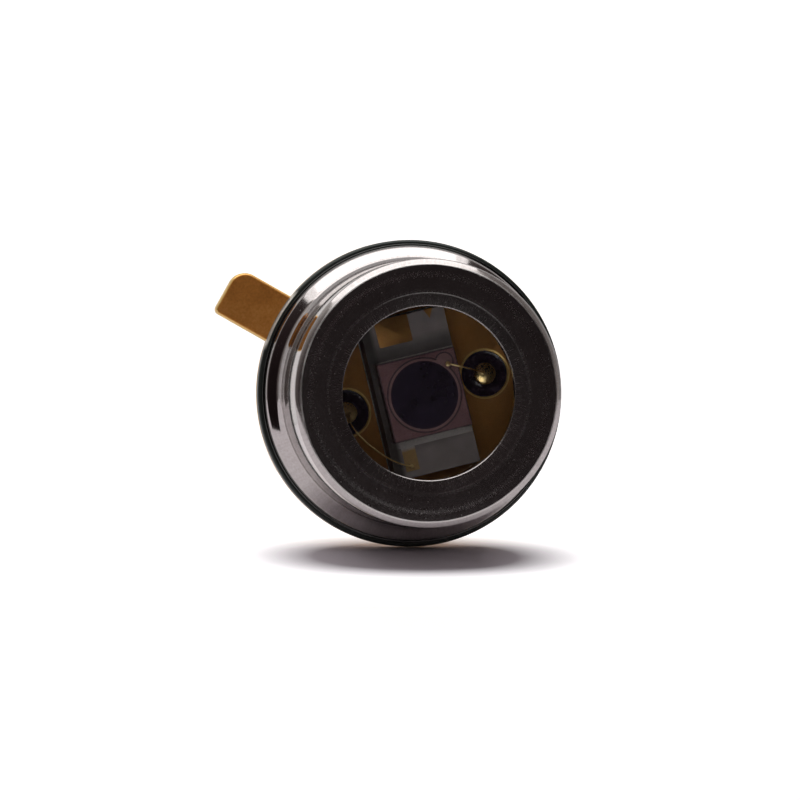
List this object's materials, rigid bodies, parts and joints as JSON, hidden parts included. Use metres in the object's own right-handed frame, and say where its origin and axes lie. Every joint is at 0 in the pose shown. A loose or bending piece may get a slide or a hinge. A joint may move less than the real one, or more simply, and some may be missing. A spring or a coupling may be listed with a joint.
{
  "type": "photodiode",
  "caption": "Photodiode in a small round metal can: flat glass window in a drawn cap, gold-plated header with index tab, chip on a ceramic carrier inside, straight leads behind.",
  "frame": {"origin": "centre of the seating plane, on the header's underside", "axes": "+Z along the optical axis out of the window, +X through the cathode lead, +Y through the case lead; the leads run down -Z"},
  "size_m": [0.0056, 0.0055, 0.0106],
  "materials": {
    "header_gold": "gold plate, satin",
    "lead_gold": "gold plate, drawn wire",
    "cap_steel": "drawn and plated, fine scratches",
    "window_glass": "polished",
    "seal_glass": "dark fused glass",
    "solder_glass": "fused",
    "solder": "dull",
    "carrier_ceramic": "fired, matt",
    "pad_film": "thin metal film",
    "gold_film": "thin gold film",
    "chip_face": "polished and coated",
    "active_film": "anti-reflection coated",
    "contact_film": "thin metal film",
    "bond_gold": "bright drawn wire"
  },
  "bodies": {
    "root": {"header": "header_gold", "seal_anode": "seal_glass", "seal_cathode": "seal_glass", "lead_anode": "lead_gold", "lead_cathode": "lead_gold", "lead_case": "lead_gold", "case_braze": "solder", "cap": "cap_steel", "window": "window_glass", "window_frit": "solder_glass", "carrier_solder": "solder", "carrier": "carrier_ceramic", "chip_pad": "pad_film", "spare_pad": "gold_film", "index_mark": "gold_film", "chip_solder": "solder", "chip": "chip_face", "active_area": "active_film", "contact_ring": "contact_film", "wire_anode": "bond_gold", "wire_cathode": "bond_gold"}
  },
  "joints": []
}
